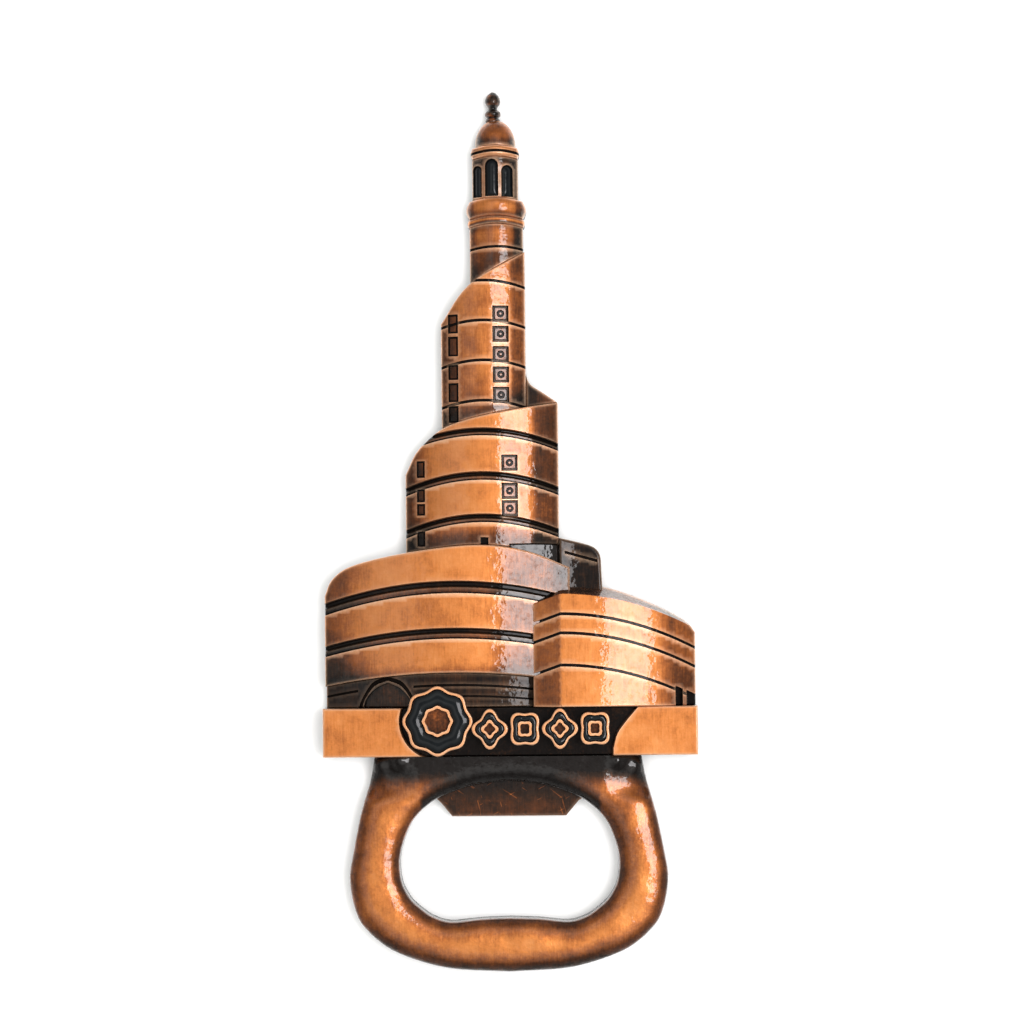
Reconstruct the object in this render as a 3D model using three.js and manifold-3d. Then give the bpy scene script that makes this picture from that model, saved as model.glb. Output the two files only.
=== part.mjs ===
// Souvenir bottle opener: a spiral tower in relief, a band across its foot and an opener ring.
// Millimetres. It lies on its back: z = 0 is the flat back, +Z comes out of the decorated face,
// +Y runs towards the finial and +X to the right. The origin is at the middle of the back.
import * as THREE from 'three';
import { mergeVertices } from 'three/addons/utils/BufferGeometryUtils.js';
import Module from 'manifold-3d';

const wasm = await Module();
wasm.setup();

// ---------- driving dimensions ----------
const LENGTH = 119.2;
const BAND_WIDTH = 50.4;
const BAND_HEIGHT = 6.55;
const RING_WIDTH = 42.9;
const HOLE_WIDTH = 29.6;
const JOINT = 0.05;

const RING_TOP = 4.6;
const LIFTER_TOP = 2.2;
const BAND_TOP = 5.0;
const RECESS_FLOOR = 3.6;
const ORNAMENT_TOP = 6.2;
const POCKET_DEPTH = 1.0;
const RIM = 0.4;
const PLAN_CLEAR = 20;
const CUT_START = 0.5;

const END = LENGTH / 2;
const BAND_BOTTOM = -30.6;
const BAND_UPPER = BAND_BOTTOM + BAND_HEIGHT;
const HOLE_BOTTOM = -52.9;
const HOLE_TOP = -34.0;
const HOLE_X = -0.3;
const LIFTER_EDGE = -38.8;
const RING_X = -0.4;

// Each round mass: middle, half width, height of its side walls and height of its crown.
const SHAFT = { x: -1.3, half: 3.6, edge: 2.5, crown: 3.9 };
const LANTERN = { x: -1.4, half: 3.1, edge: 2.2, crown: 3.6 };
const CORNICE = { x: -1.4, half: 3.25, edge: 2.5, crown: 4.0 };
const GALLERY = { x: -1.3, half: 4.0, edge: 2.7, crown: 4.4 };
const COLLAR = { x: -1.3, half: 3.85, edge: 2.5, crown: 4.1 };
// The courses from the shaft to the cornice share one bow.
const STACK = { x: -1.35, half: 4.1 };
const STACK_DROP = 0.6;
const UPPER = { x: -3.2, half: 5.7, edge: 2.9, crown: 4.4 };
const MIDDLE = { x: -3.55, half: 10.35, edge: 2.6, crown: 5.1 };
const LOWER = { x: -7.4, half: 17.5, edge: 3.8, crown: 6.6 };

// ---------- materials ----------
function metal(color, roughness) {
  return new THREE.MeshStandardMaterial({ color, roughness, metalness: 1 });
}

const COPPER = metal(0xd98a52, 0.35);
const BROWN = metal(0x7a4a2c, 0.45);
const OXIDE = metal(0x2f2723, 0.5);
const ENAMEL = new THREE.MeshStandardMaterial({ color: 0x14181b, roughness: 0.15, metalness: 0 });

// ---------- solids ----------
function solidOf(geometry) {
  geometry.deleteAttribute('normal');
  geometry.deleteAttribute('uv');
  const merged = mergeVertices(geometry, 1e-5);
  return new wasm.Manifold(new wasm.Mesh({
    numProp: 3,
    vertProperties: new Float32Array(merged.attributes.position.array),
    triVerts: new Uint32Array(merged.index.array),
  }));
}

function prism(shape, low, high) {
  const settings = { depth: high - low, bevelEnabled: false, curveSegments: 16 };
  const geometry = new THREE.ExtrudeGeometry(shape, settings);
  geometry.translate(0, 0, low);
  return solidOf(geometry);
}

function outline(points) {
  return new THREE.Shape(points.map(([x, y]) => new THREE.Vector2(x, y)));
}

function rectangle(x0, x1, y0, y1) {
  return outline([[x0, y0], [x1, y0], [x1, y1], [x0, y1]]);
}

// Smooth line through the points, as 2D vectors.
function smooth(points, divisions) {
  return new THREE.SplineCurve(points.map(([x, y]) => new THREE.Vector2(x, y))).getPoints(divisions);
}

// Crown height of a round mass at x, lowered by depth.
function crownAt(mass, x, depth = 0) {
  const u = Math.min(1, Math.abs(x - mass.x) / mass.half);
  return mass.edge + (mass.crown - mass.edge) * (1 - u * u) - depth;
}

// Solid under the crown of a round mass, over its full length.
function barrel(mass, depth = 0, segments = 16) {
  const section = new THREE.Shape();
  section.moveTo(mass.x - mass.half, 0);
  for (let i = 0; i <= segments; i += 1) {
    const x = mass.x + mass.half * (2 * i / segments - 1);
    section.lineTo(x, crownAt(mass, x, depth));
  }
  section.lineTo(mass.x + mass.half, 0);
  const geometry = new THREE.ExtrudeGeometry(section, { depth: LENGTH, bevelEnabled: false });
  geometry.rotateX(Math.PI / 2);
  geometry.translate(0, END, 0);
  return solidOf(geometry);
}

// Strip between two arcs that bow up in the middle of a round mass.
function bowStrip(mass, top, bottom, drop, segments = 12) {
  const points = [];
  const margin = 1.05;
  for (let i = 0; i <= segments; i += 1) {
    const u = margin * (2 * i / segments - 1);
    points.push([mass.x + mass.half * u, top - drop * u * u]);
  }
  for (let i = segments; i >= 0; i -= 1) {
    const u = margin * (2 * i / segments - 1);
    points.push([mass.x + mass.half * u, bottom - drop * u * u]);
  }
  return outline(points);
}

// Cuts a list of shapes into a round mass, to a constant depth below its crown.
function engrave(solid, mass, shapes, depth) {
  const floor = barrel(mass, depth);
  const cut = (rest, shape) => rest.subtract(prism(shape, CUT_START, PLAN_CLEAR).subtract(floor));
  return shapes.reduce(cut, solid);
}

const group = new THREE.Group();

function add(name, solid, material) {
  const { vertProperties, triVerts } = solid.getMesh();
  const geometry = new THREE.BufferGeometry();
  geometry.setAttribute('position', new THREE.BufferAttribute(new Float32Array(vertProperties), 3));
  geometry.setIndex(new THREE.BufferAttribute(new Uint32Array(triVerts), 1));
  geometry.computeVertexNormals();
  const mesh = new THREE.Mesh(geometry, material);
  mesh.name = name;
  group.add(mesh);
}

// ---------- opener frame and cap lifter ----------
function ringShape() {
  const half = RING_WIDTH / 2;
  const side = [
    [half * 0.34, -59.2], [half * 0.55, -58.2], [half * 0.72, -56.8], [half * 0.82, -55.4],
    [half * 0.89, -54.0], [half * 0.94, -52.6], [half * 0.98, -50.2], [half, -46.8],
    [half * 0.974, -43.2], [half * 0.937, -39.2], [half * 0.9, -36.2], [half * 0.867, -33.7],
  ];
  const neckTop = BAND_BOTTOM + 6;
  const rightSide = [
    ...smooth([[0, -END], ...side, [half * 0.84, BAND_BOTTOM]], 30),
    new THREE.Vector2(half * 0.82, neckTop),
  ];
  const leftSide = rightSide.slice(1).reverse().map((p) => new THREE.Vector2(-p.x, p.y));
  return new THREE.Shape([...leftSide, ...rightSide].map((p) => new THREE.Vector2(p.x + RING_X, p.y)));
}

function holePoints() {
  const half = HOLE_WIDTH / 2;
  const side = [
    [0, -52.4], [half * 0.27, -52.55], [half * 0.54, HOLE_BOTTOM], [half * 0.7, -52.2],
    [half * 0.8, -51.2], [half * 0.89, -50.0], [half * 0.95, -48.6], [half * 0.985, -47.2],
    [half, -45.0], [half * 0.98, -42.9], [half * 0.92, -40.4], [half * 0.86, -38.9],
    [half * 0.76, -37.4], [half * 0.61, -36.0], [half * 0.3, -34.5], [0, HOLE_TOP],
  ];
  const right = smooth(side, 36);
  const left = right.slice(1, -1).reverse().map((p) => new THREE.Vector2(-p.x, p.y));
  return [...right, ...left].map((p) => new THREE.Vector2(p.x + HOLE_X, p.y));
}

const BEVEL = 2.3;

function makeFrame() {
  const shape = ringShape();
  shape.holes.push(new THREE.Path(holePoints()));
  const geometry = new THREE.ExtrudeGeometry(shape, {
    depth: RING_TOP / 2,
    bevelEnabled: true,
    bevelThickness: RING_TOP / 2,
    bevelSize: BEVEL,
    bevelOffset: -BEVEL,
    bevelSegments: 4,
  });
  return solidOf(geometry).intersect(prism(rectangle(-END, END, -END, BAND_BOTTOM - JOINT), 0, PLAN_CLEAR));
}

function lifterShape(grow) {
  const root = HOLE_TOP + 2.6;
  return outline([
    [-8.0 - grow, LIFTER_EDGE - grow], [7.4 + grow, LIFTER_EDGE - grow], [9.1 + grow, -36.8],
    [10.6 + grow, -35.9], [10.6 + grow, root + grow], [-10.6 - grow, root + grow],
    [-10.6 - grow, -35.9], [-9.4 - grow, -37.1],
  ]);
}

add('opener_frame', makeFrame().subtract(prism(lifterShape(JOINT), -1, LIFTER_TOP + JOINT)), COPPER);
add('cap_lifter', prism(lifterShape(0), 0, LIFTER_TOP), BROWN);

// ---------- base band with its recess ----------
const MEDALLION = { x: -9.7, y: -25.8, r: 4.5 };
const PANEL_GAP = 0.6;
// The recess ends on the right in a curve that leans outwards.
const RECESS_END = { bottom: 13.7, bend: [14.1, -25.4], top: 17.6 };

function recessShape() {
  const shape = new THREE.Shape();
  const below = BAND_BOTTOM - 0.2;
  const reach = MEDALLION.r + PANEL_GAP;
  const start = Math.asin((BAND_UPPER + 1 - MEDALLION.y) / reach);
  const end = Math.PI + Math.asin((MEDALLION.y - below) / reach);
  shape.absarc(MEDALLION.x, MEDALLION.y, reach, Math.PI - start, end, false);
  shape.lineTo(RECESS_END.bottom, below);
  shape.quadraticCurveTo(...RECESS_END.bend, RECESS_END.top, BAND_UPPER + 1);
  return shape;
}

const half = BAND_WIDTH / 2;
const bandBlock = prism(rectangle(-half, half, BAND_BOTTOM, BAND_UPPER), 0, BAND_TOP);
add('base_band', bandBlock.subtract(prism(recessShape(), RECESS_FLOOR, PLAN_CLEAR)), COPPER);

// ---------- ornament row: raised cells, each holding a pool of enamel ----------
// A lobed closed curve: lobes and swell set its shape, turn sets where its points are.
function lobed(cell, inset, segments = 40) {
  const points = [];
  for (let i = 0; i < segments; i += 1) {
    const angle = 2 * Math.PI * i / segments;
    const swell = 1 + cell.swell * Math.cos(cell.lobes * (angle - cell.turn));
    const rx = (cell.rx - inset) * swell;
    const ry = (cell.ry - inset) * swell;
    points.push([cell.x + rx * Math.cos(angle), cell.y + ry * Math.sin(angle)]);
  }
  return outline(points);
}

function counter(cell, grow) {
  const hole = { ...cell, rx: cell.rx * cell.hole + grow, ry: cell.ry * cell.hole + grow };
  return lobed(hole, 0, 16);
}

const SMALL = { y: -26.9, rx: 2.1, ry: 2.35, lobes: 4, hole: 0.3 };
const QUATREFOIL = { ...SMALL, swell: 0.12, turn: Math.PI / 4 };
const LOZENGE = { ...SMALL, swell: 0.16, turn: 0 };
const SMALL_PITCH = 4.7;
const SMALL_START = -2.7;
const POOL_DROP = 0.15;
const cells = [
  { ...MEDALLION, rx: MEDALLION.r, ry: MEDALLION.r, lobes: 8, swell: 0.05, turn: 0, hole: 0.36 },
];
for (let i = 0; i < 4; i += 1) {
  const kind = i % 2 === 0 ? LOZENGE : QUATREFOIL;
  cells.push({ ...kind, x: SMALL_START + SMALL_PITCH * i });
}

cells.forEach((cell, i) => {
  const foot = RECESS_FLOOR + JOINT;
  const pocketFloor = ORNAMENT_TOP - POCKET_DEPTH;
  const pocket = prism(lobed(cell, RIM), pocketFloor, PLAN_CLEAR)
    .subtract(prism(counter(cell, RIM), 0, PLAN_CLEAR));
  const well = prism(counter(cell, 0), pocketFloor - JOINT, PLAN_CLEAR);
  const block = prism(lobed(cell, 0), foot, ORNAMENT_TOP).subtract(pocket).subtract(well);
  add(`ornament_cell_${i + 1}`, block, COPPER);
  const fill = prism(lobed(cell, RIM + JOINT), pocketFloor + JOINT, ORNAMENT_TOP - POOL_DROP)
    .subtract(prism(counter(cell, RIM + JOINT), 0, PLAN_CLEAR));
  add(`ornament_enamel_${i + 1}`, fill, ENAMEL);
});

// ---------- annex wing: a flat left facet and a curved front ----------
const WING = { left: 3.2, corner: 6.9, right: 25.0, top: -8.9, bottom: BAND_UPPER + JOINT };
const WING_HEIGHT = { left: 5.6, corner: 6.8, right: 3.2 };
const WING_ROUNDING = 2.5;
const WING_SAG = 0.0145;
const WING_STEPS = 10;
const WING_CHAMFER = 0.6;
const FACET_SLOPE = 0.36;
const GROOVE_THIN = 0.34;
const THIN_DEPTH = 0.5;

// Course line of the wing: falls left of the corner in a straight line, right of it in a curve.
function courseY(x, level) {
  const run = x - WING.corner;
  return run < 0 ? level + FACET_SLOPE * run : level - WING_SAG * run * run;
}

function wingStrip(top, bottom, x0 = WING.left - 1, x1 = WING.right + 1) {
  const xs = [x0, WING.corner];
  for (let i = 1; i <= WING_STEPS; i += 1) {
    xs.push(WING.corner + (x1 - WING.corner) * i / WING_STEPS);
  }
  const upper = xs.map((x) => [x, courseY(x, top)]);
  const lower = xs.map((x) => [x, courseY(x, bottom)]).reverse();
  return outline([...upper, ...lower]);
}

function wingBody(depth) {
  const section = new THREE.Shape();
  section.moveTo(WING.left, 0);
  section.lineTo(WING.left, WING_HEIGHT.left - depth);
  for (let i = 0; i <= WING_STEPS; i += 1) {
    const t = i / WING_STEPS;
    const z = WING_HEIGHT.corner - (WING_HEIGHT.corner - WING_HEIGHT.right) * t ** WING_ROUNDING;
    section.lineTo(WING.corner + (WING.right - WING.corner) * t, z - depth);
  }
  section.lineTo(WING.right, 0);
  const geometry = new THREE.ExtrudeGeometry(section, { depth: LENGTH, bevelEnabled: false });
  geometry.rotateX(Math.PI / 2);
  geometry.translate(0, END, 0);
  return solidOf(geometry);
}

function wingOutline(grow) {
  const top = WING.top + grow;
  const points = [[WING.left - grow, courseY(WING.left, top)], [WING.corner, top]];
  for (let i = 1; i <= WING_STEPS; i += 1) {
    const x = WING.corner + (WING.right - WING_CHAMFER - WING.corner) * i / WING_STEPS;
    points.push([x, courseY(x, top)]);
  }
  points.push([WING.right + grow, courseY(WING.right, top) - WING_CHAMFER]);
  points.push([WING.right + grow, WING.bottom], [WING.left - grow, WING.bottom]);
  return outline(points.reverse());
}

const wingFloor = wingBody(THIN_DEPTH);
const WING_GROOVES = [-11.55, -14.1, -18.4];
let wing = wingBody(0).intersect(prism(wingOutline(0), 0, PLAN_CLEAR));
for (const level of WING_GROOVES) {
  const strip = prism(wingStrip(level + GROOVE_THIN / 2, level - GROOVE_THIN / 2), CUT_START, PLAN_CLEAR);
  wing = wing.subtract(strip.subtract(wingFloor));
}
// A low step at the foot of its right end.
const WING_FOOT = { plan: [[22.3, -21.5], [26, -22.8], [26, -25], [22.3, -25]], top: 1.6 };
wing = wing.subtract(prism(outline(WING_FOOT.plan), WING_FOOT.top, PLAN_CLEAR));
add('annex_wing', wing, COPPER);
const wingCutter = prism(wingOutline(JOINT), -1, PLAN_CLEAR);

// ---------- lower drum, its ground storey and the turret behind ----------
const LOWER_END = 8.2;
const STOREY_TOP = -19.3;
const STOREY_DROP = 1.8;

function lowerTop(grow) {
  const points = smooth([
    [-24.9, -8.9], [-23.8, -6.6], [-20.9, -4.8], [-13.8, -3.2], [-4.6, -2.2], [2.2, -3.0], [LOWER_END, -5.3],
  ], 24);
  return points.map((p) => [p.x, p.y + grow]);
}

const underDrum = bowStrip(LOWER, STOREY_TOP, -60, STOREY_DROP);
const lowerOutline = outline([
  [-24.9, BAND_UPPER], ...lowerTop(0), [LOWER_END, BAND_UPPER],
]);
const GROOVE_DEPTH = 0.8;
const LOWER_GROOVES = [
  bowStrip(LOWER, -7.1, -8.6, 2.9),
  bowStrip(LOWER, -13.4, -14.7, 2.4),
];
let lower = barrel(LOWER).intersect(prism(lowerOutline, 0, PLAN_CLEAR));
lower = engrave(lower, LOWER, LOWER_GROOVES, GROOVE_DEPTH);
lower = lower.subtract(prism(underDrum, -1, PLAN_CLEAR)).subtract(wingCutter);
add('lower_drum', lower, COPPER);

const storeyRoof = bowStrip(LOWER, STOREY_TOP - JOINT, -60, STOREY_DROP);
const storeyPlan = rectangle(-24.9, WING.left - JOINT, BAND_UPPER + JOINT, 0);
const storeyMass = { ...LOWER, edge: 1.4, crown: RECESS_FLOOR };
let storey = barrel(storeyMass).intersect(prism(storeyPlan, 0, PLAN_CLEAR));
storey = storey.intersect(prism(storeyRoof, -1, PLAN_CLEAR));
const ARCH = { x: -16.5, half: 3.4, top: -20.1 };
const archHole = new THREE.Shape();
archHole.moveTo(ARCH.x - ARCH.half, BAND_UPPER - 1);
archHole.quadraticCurveTo(ARCH.x - ARCH.half * 0.6, ARCH.top, ARCH.x, ARCH.top);
archHole.quadraticCurveTo(ARCH.x + ARCH.half * 0.6, ARCH.top, ARCH.x + ARCH.half, BAND_UPPER - 1);
storey = engrave(storey, storeyMass, [archHole], THIN_DEPTH);
add('ground_storey', storey, OXIDE);

const turretTop = smooth([[6.4, -1.1], [10.1, -2.1], [11.7, -2.6], [12.4, -3.6], [12.5, -6.0]], 12);
const turret = outline([
  ...turretTop.map((p) => [p.x, p.y]), [12.9, -10.6], [5.0, -10.6], [5.0, -4.0],
]);
const lowerShadow = outline([[-24.9, -30], ...lowerTop(JOINT), [LOWER_END + JOINT, -30]]);
const TURRET_TOP = 2.9;
const turretBlock = prism(turret, 0, TURRET_TOP)
  .subtract(prism(lowerShadow, -1, PLAN_CLEAR))
  .subtract(wingCutter);
const besideMiddle = prism(rectangle(MIDDLE.x + MIDDLE.half + JOINT, 13, -10.6, 0), -1, PLAN_CLEAR);
add('rear_turret', turretBlock.intersect(besideMiddle), OXIDE);

// ---------- middle drum ----------
function middleTop(grow) {
  const left = MIDDLE.x - MIDDLE.half;
  const right = MIDDLE.x + MIDDLE.half;
  const shoulder = smooth([[left, 7.4], [-12.2, 10.6], [-9.1, 13.3]], 8);
  const ramp = smooth([[-9.1, 13.3], [-4.9, 14.9], [1.0, 16.1], [right, 17.0]], 12);
  return [...shoulder, ...ramp.slice(1)].map((p) => [p.x, p.y + grow]);
}

function leftWindows(x0, x1, spans) {
  return spans.map(([top, bottom]) => rectangle(x0, x1, bottom, top));
}

function squareWindows(x, size, tops) {
  return tops.map((top) => rectangle(x - size / 2, x + size / 2, top - size, top));
}

const WINDOW = 2.1;
const MIDDLE_GROOVE = 0.9;
const MIDDLE_DROP = 2.1;
const MIDDLE_COURSES = [13.5, 7.6, 1.9];
const MIDDLE_SLOTS = leftWindows(-12.3, -11.2, [[9.2, 7.1], [5.4, 3.7], [3.4, 1.9], [-0.3, -2.5]]);
const MIDDLE_SQUARES = squareWindows(0.2, WINDOW, [9.9, 6.1, 3.7]);
const MIDDLE_DOOR = rectangle(-3.7, -2.7, -2.1, -1.3);
const middleLeft = MIDDLE.x - MIDDLE.half;
const middleRight = MIDDLE.x + MIDDLE.half;
const middleOutline = outline([[middleLeft, -12], ...middleTop(0), [middleRight, -12]]);
let middle = barrel(MIDDLE).intersect(prism(middleOutline, 0, PLAN_CLEAR));
middle = engrave(middle, MIDDLE, [
  ...MIDDLE_COURSES.map((y) => bowStrip(MIDDLE, y, y - MIDDLE_GROOVE, MIDDLE_DROP)),
  ...MIDDLE_SLOTS,
  ...MIDDLE_SQUARES,
  MIDDLE_DOOR,
], GROOVE_DEPTH);
middle = middle.subtract(prism(outline([
  [-30, -40], [-30, -8.9], ...lowerTop(JOINT), [LOWER_END, -40],
]), -1, PLAN_CLEAR));
add('middle_drum', middle, COPPER);

const underMiddle = prism(
  outline([[middleLeft, -12], ...middleTop(JOINT), [middleRight + JOINT, -12]]), -1, PLAN_CLEAR,
);

// ---------- upper drum, and the parapet seen behind it ----------
const UPPER_LEFT = UPPER.x - UPPER.half;
const UPPER_RIGHT = UPPER.x + UPPER.half;

function upperTop(grow) {
  const ramp = smooth([[UPPER_LEFT, 27.8], [-5.0, 33.0], [UPPER_RIGHT, 37.5]], 12);
  return ramp.map((p) => [p.x, p.y + grow]);
}

const upperOutline = outline([[UPPER_LEFT, 10], ...upperTop(0), [UPPER_RIGHT, 10]]);
let upper = barrel(UPPER).intersect(prism(upperOutline, 0, PLAN_CLEAR));
const UPPER_DROP = 1.0;
const UPPER_COURSES = [33.75, 28.35, 22.95, 17.5];
const UPPER_SLOTS = leftWindows(-7.9, -6.6, [
  [29.0, 26.5], [26.0, 23.4], [22.2, 20.2], [19.7, 17.2], [16.6, 14.4],
]);
const UPPER_SQUARES = squareWindows(-0.8, WINDOW, [30.1, 27.35, 24.6, 21.85, 19.1]);
upper = engrave(upper, UPPER, [
  ...UPPER_COURSES.map((y) => bowStrip(UPPER, y, y - GROOVE_THIN, UPPER_DROP)),
  ...UPPER_SLOTS,
  ...UPPER_SQUARES,
], THIN_DEPTH);
add('upper_drum', upper.subtract(underMiddle), COPPER);

const parapetEdge = smooth([[UPPER_RIGHT + JOINT, 21.0], [3.1, 19.6], [4.8, 18.4], [6.7, 17.0]], 10);
const parapet = outline([...parapetEdge.map((p) => [p.x, p.y]), [6.7, 14], [UPPER_RIGHT + JOINT, 14]]);
const PARAPET_TOP = 2.6;
add('rear_parapet', prism(parapet, 0, PARAPET_TOP).subtract(underMiddle), BROWN);

// ---------- shaft ----------
const SHAFT_TOP = 41.3;
const SHAFT_COURSE = 38.3;
let shaft = barrel(SHAFT).intersect(prism(bowStrip(STACK, SHAFT_TOP, 20, STACK_DROP), 0, PLAN_CLEAR));
shaft = engrave(shaft, SHAFT, [bowStrip(SHAFT, SHAFT_COURSE, SHAFT_COURSE - GROOVE_THIN, STACK_DROP)], THIN_DEPTH);
const shaftCut = outline([
  [UPPER_LEFT, 10], ...upperTop(JOINT), [UPPER_RIGHT + 1, 38], [UPPER_RIGHT + 1, 10],
]);
add('shaft', shaft.subtract(prism(shaftCut, -1, PLAN_CLEAR)), COPPER);

// ---------- gallery, lantern and cornice ----------
function course(mass, top, bottom) {
  return barrel(mass, 0, 14).intersect(prism(bowStrip(STACK, top, bottom, STACK_DROP), 0, PLAN_CLEAR));
}

const COLLAR_TOP = 42.4;
const GALLERY_TOP = 44.9;
const LANTERN_TOP = 50.5;
add('gallery_collar', course(COLLAR, COLLAR_TOP, SHAFT_TOP + JOINT), BROWN);
add('gallery', course(GALLERY, GALLERY_TOP, COLLAR_TOP + JOINT), COPPER);

function archedWindow(x0, x1, bottom, top, grow) {
  const r = (x1 - x0) / 2 - grow;
  const shape = new THREE.Shape();
  const x = (x0 + x1) / 2;
  shape.moveTo(x - r, bottom + grow);
  shape.lineTo(x + r, bottom + grow);
  shape.absarc(x, top - r - grow, r, 0, Math.PI, false);
  return shape;
}

const lanternWindows = {
  left: [-4.35, -3.2, 45.0, 49.3],
  centre: [-2.7, -0.95, 45.1, 50.15],
  right: [-0.5, 1.0, 45.0, 49.3],
};
const WINDOW_DEPTH = 0.8;
const ENAMEL_DROP = 0.3;
let lantern = course(LANTERN, LANTERN_TOP, GALLERY_TOP + JOINT);
const lanternHoles = Object.values(lanternWindows).map((w) => archedWindow(...w, 0));
lantern = engrave(lantern, LANTERN, lanternHoles, WINDOW_DEPTH);
add('lantern', lantern, COPPER);
for (const [side, w] of Object.entries(lanternWindows)) {
  const pane = prism(archedWindow(...w, JOINT), CUT_START, PLAN_CLEAR);
  const fill = barrel(LANTERN, ENAMEL_DROP).intersect(pane).subtract(barrel(LANTERN, WINDOW_DEPTH - JOINT));
  add(`lantern_enamel_${side}`, fill, ENAMEL);
}

const CORNICE_TOP = 52.0;
const CORNICE_COURSE = 51.4;
const corniceGroove = bowStrip(STACK, CORNICE_COURSE, CORNICE_COURSE - GROOVE_THIN, STACK_DROP);
const cornice = course(CORNICE, CORNICE_TOP, LANTERN_TOP + JOINT);
add('cornice', engrave(cornice, CORNICE, [corniceGroove], THIN_DEPTH), COPPER);

// ---------- dome and finial ----------
const DOME = { x: -1.35, y: 51.6, rx: 2.75, ry: 4.1, skirt: 1.3, rise: 2.3 };

function ellipsoid(x, y, z, rx, ry, rz, segments) {
  const geometry = new THREE.SphereGeometry(1, segments, segments / 2);
  geometry.scale(rx, ry, rz);
  geometry.translate(x, y, z);
  return solidOf(geometry);
}

const domeShape = new THREE.Shape();
domeShape.absellipse(DOME.x, DOME.y, DOME.rx, DOME.ry, 0, Math.PI, false);
const domeCap = ellipsoid(DOME.x, DOME.y, DOME.skirt, DOME.rx, DOME.ry, DOME.rise, 20);
const domeCut = prism(bowStrip(STACK, CORNICE_TOP + JOINT, 40, STACK_DROP), -1, PLAN_CLEAR);
const domeBody = prism(domeShape, 0, DOME.skirt)
  .add(domeCap.intersect(prism(domeShape, 0, PLAN_CLEAR)))
  .subtract(domeCut);

const FINIAL_X = -1.65;
const COLLAR_Y = 56.4;
const BALL_Y = 58.4;
const FINIAL_Z = 1.15;
const BALL_R = 1.05;
const neck = new THREE.CylinderGeometry(BALL_R * 0.55, BALL_R * 0.7, BALL_Y - COLLAR_Y + 1, 12);
neck.translate(FINIAL_X, (BALL_Y + COLLAR_Y) / 2 - 0.5, FINIAL_Z);
const collar = ellipsoid(FINIAL_X, COLLAR_Y, FINIAL_Z, BALL_R, BALL_R * 0.65, BALL_R, 12);
const ball = ellipsoid(FINIAL_X, BALL_Y, FINIAL_Z, BALL_R, END - BALL_Y, BALL_R, 12);
const domeGrown = ellipsoid(
  DOME.x, DOME.y, DOME.skirt, DOME.rx + JOINT, DOME.ry + JOINT, DOME.rise + JOINT, 20,
);
const domeWall = new THREE.Shape();
domeWall.absellipse(DOME.x, DOME.y, DOME.rx + JOINT, DOME.ry + JOINT, 0, Math.PI, false);
const finial = solidOf(neck).add(collar).add(ball)
  .subtract(domeGrown)
  .subtract(prism(domeWall, -1, DOME.skirt));
add('dome', domeBody, COPPER);
add('finial', finial, BROWN);

export default group;
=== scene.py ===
# Souvenir bottle opener: the looks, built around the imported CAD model.
# Row frame: z = 0 is the flat back, +Z comes out of the decorated face, +Y runs to the finial.
# Shapes are worked out in millimetres and turned into metres when a mesh is made.
import math
from collections import Counter

import bpy
import numpy as np
from mathutils import Matrix, Vector, geometry, noise


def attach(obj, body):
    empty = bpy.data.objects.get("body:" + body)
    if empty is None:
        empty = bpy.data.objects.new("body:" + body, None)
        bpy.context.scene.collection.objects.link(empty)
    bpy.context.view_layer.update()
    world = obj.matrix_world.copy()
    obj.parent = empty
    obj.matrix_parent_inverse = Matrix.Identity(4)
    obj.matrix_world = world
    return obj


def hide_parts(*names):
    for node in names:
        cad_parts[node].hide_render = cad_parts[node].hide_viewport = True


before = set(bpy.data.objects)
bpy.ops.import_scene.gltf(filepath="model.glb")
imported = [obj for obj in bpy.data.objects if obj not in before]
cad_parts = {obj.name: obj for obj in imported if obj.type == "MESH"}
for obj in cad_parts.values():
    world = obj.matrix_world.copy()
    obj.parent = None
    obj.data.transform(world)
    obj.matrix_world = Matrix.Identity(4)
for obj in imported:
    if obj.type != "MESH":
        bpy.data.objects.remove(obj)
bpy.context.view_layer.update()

MM = 0.001

# ---------- driving dimensions, in millimetres ----------
BAND_LOW, BAND_HIGH = -30.6, -24.05
BAND_HALF = 25.2
RING_TOP, LIFTER_TOP, BAND_TOP = 4.6, 2.2, 5.0
RECESS_FLOOR, ORNAMENT_TOP = 3.6, 6.2
RING_X, RING_HALF = -0.4, 21.45
HOLE_X, HOLE_HALF = -0.3, 14.8
# GAP keeps neighbours apart, and SLIVER is how far past an outline a triangle's middle may lie.
GAP, SLIVER = 0.05, 0.0001


class Mass:
    """A round mass of the tower: its middle, half width, side height and crown height."""

    def __init__(self, x, half, edge, crown):
        self.x, self.half, self.edge, self.crown = x, half, edge, crown
        self.left, self.right = x - half, x + half

    def u(self, x):
        return (x - self.x) / self.half

    def top(self, x, y):
        u = np.clip(self.u(x), -1, 1)
        return self.edge + (self.crown - self.edge) * (1 - u * u)


SHAFT = Mass(-1.3, 3.6, 2.5, 3.9)
LANTERN = Mass(-1.4, 3.1, 2.2, 3.6)
CORNICE = Mass(-1.4, 3.25, 2.5, 4.0)
GALLERY = Mass(-1.3, 4.0, 2.7, 4.4)
COLLAR = Mass(-1.3, 3.85, 2.5, 4.1)
UPPER = Mass(-3.2, 5.7, 2.9, 4.4)
MIDDLE = Mass(-3.55, 10.35, 2.6, 5.1)
LOWER = Mass(-7.4, 17.5, 3.8, 6.6)
# STACK has no height: it only bows the level lines of the drums at the head.
STACK = Mass(-1.35, 4.1, 0, 0)

# How far each mass's level lines fall from its middle to its sides.
STACK_DROP, SHAFT_DROP, UPPER_DROP, MIDDLE_DROP = 0.6, 0.4, 1.0, 2.1
FINE_COURSE = 0.33


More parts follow.
